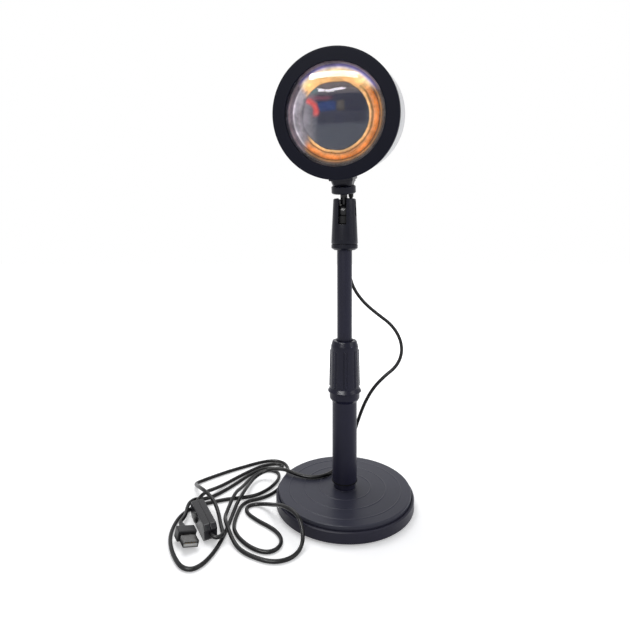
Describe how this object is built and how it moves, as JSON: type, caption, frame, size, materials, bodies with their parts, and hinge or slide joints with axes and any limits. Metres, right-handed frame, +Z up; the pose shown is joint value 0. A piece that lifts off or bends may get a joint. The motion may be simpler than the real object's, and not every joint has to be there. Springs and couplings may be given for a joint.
{
  "type": "table lamp",
  "caption": "Sunset projection lamp: round domed-lens head on a ball joint, telescopic twist-lock column, round weighted base, in-line switch and USB lead.",
  "frame": {"origin": "centre of the underside of the base, on the surface that the lamp stands on", "axes": "+Z up the column; -Y towards the lamp's front, where the viewer stands; +X to the viewer's right"},
  "size_m": [0.2063, 0.1672, 0.4034],
  "materials": {
    "base_paint": "satin black paint",
    "column_paint": "satin black paint",
    "black_plastic": "matt black",
    "clutch_plastic": "satin black moulding",
    "socket_plastic": "satin black moulding",
    "stud_paint": "black",
    "bezel_paint": "satin black",
    "casing_silver": "pale silver, satin",
    "lens_glass": "clear domed lens",
    "filter_glass": "colour-shifting coating",
    "gasket_rubber": "matt",
    "rubber": "matt",
    "reflector": "bright",
    "bare_aluminium": "as cut",
    "board": "white solder mask",
    "led": "yellow phosphor",
    "zinc": "zinc plated",
    "gland_plastic": "pale grey",
    "cord_jacket": "satin black jacket",
    "switch_plastic": "satin black moulding",
    "button_plastic": "satin black",
    "plug_plastic": "satin black moulding",
    "plug_metal": "nickel plated",
    "plug_insert": "white",
    "contact_gold": "gold plated"
  },
  "bodies": {
    "stand": {"base_body": "base_paint", "base_bolt": "zinc", "base_plate": "base_paint", "base_washer": "zinc", "clutch_collar": "clutch_plastic", "clutch_collet": "clutch_plastic", "column_boss": "column_paint", "cord_back_run": "cord_jacket", "cord_base_run": "cord_jacket", "cord_drop": "cord_jacket", "cord_front_loop": "cord_jacket", "cord_inner_loop": "cord_jacket", "cord_left_loop": "cord_jacket", "cord_plug_run": "cord_jacket", "cord_return": "cord_jacket", "lower_tube": "column_paint", "plug_boot": "cord_jacket", "plug_contacts": "contact_gold", "plug_grip": "plug_plastic", "plug_shell": "plug_metal", "plug_tongue": "plug_insert", "rubber_feet": "rubber", "switch_back": "switch_plastic", "switch_core": "black_plastic", "switch_front": "switch_plastic", "switch_screws": "zinc", "tube_ferrule": "black_plastic", "tube_plug": "black_plastic"},
    "clutch_grip": {"clutch_grip": "clutch_plastic"},
    "upper_column": {"upper_tube": "column_paint", "upper_bush": "black_plastic", "bush_cap": "black_plastic", "socket_base": "socket_plastic"},
    "socket": {"socket_sleeve": "socket_plastic", "ball_seat": "black_plastic", "spring_washer": "zinc"},
    "head": {"ball_stud": "stud_paint", "neck_block": "black_plastic", "neck_saddle": "black_plastic", "neck_screws": "zinc", "bezel_ring": "bezel_paint", "dome_lens": "lens_glass", "lens_gasket": "gasket_rubber", "filter_holder": "black_plastic", "color_filter": "filter_glass", "reflector_cup": "reflector", "led_board": "board", "led_chip": "led", "heat_sink": "bare_aluminium", "driver_board": "board", "rear_cover": "casing_silver", "drum_housing": "casing_silver", "cover_screws": "zinc", "cord_gland": "gland_plastic", "cord_boot": "gland_plastic"},
    "lock_nut": {"lock_nut": "socket_plastic"},
    "switch_button": {"switch_button": "button_plastic"}
  },
  "joints": [
    {"name": "clutch_twist", "type": "hinge", "parent": "stand", "child": "clutch_grip", "pos_m": [0, 0, 0.11], "axis": [0, 0, 1], "range_deg": [0, 90]},
    {"name": "column_slide", "type": "slide", "parent": "stand", "child": "upper_column", "axis": [0, 0, 1], "range_m": [-0.055, 0.008], "deforming": ["cord_drop"]},
    {"name": "head_pan", "type": "hinge", "parent": "upper_column", "child": "socket", "pos_m": [0, 0, 0.24], "axis": [0, 0, 1], "range_deg": [-90, 90], "deforming": ["cord_drop"]},
    {"name": "head_tilt", "type": "hinge", "parent": "socket", "child": "head", "pos_m": [0, 0, 0.2624], "axis": [0.9633, -0.2684, 0], "range_deg": [-30, 78.7], "deforming": ["cord_drop"]},
    {"name": "nut_turn", "type": "hinge", "parent": "head", "child": "lock_nut", "pos_m": [0, 0, 0.2624], "axis": [-0.0525, -0.1884, 0.9807], "range_deg": [0, 180]},
    {"name": "button_press", "type": "slide", "parent": "stand", "child": "switch_button", "axis": [0.8821, 0.471, 0], "range_m": [0, 0.0012], "stiffness_N_per_m": 800}
  ]
}
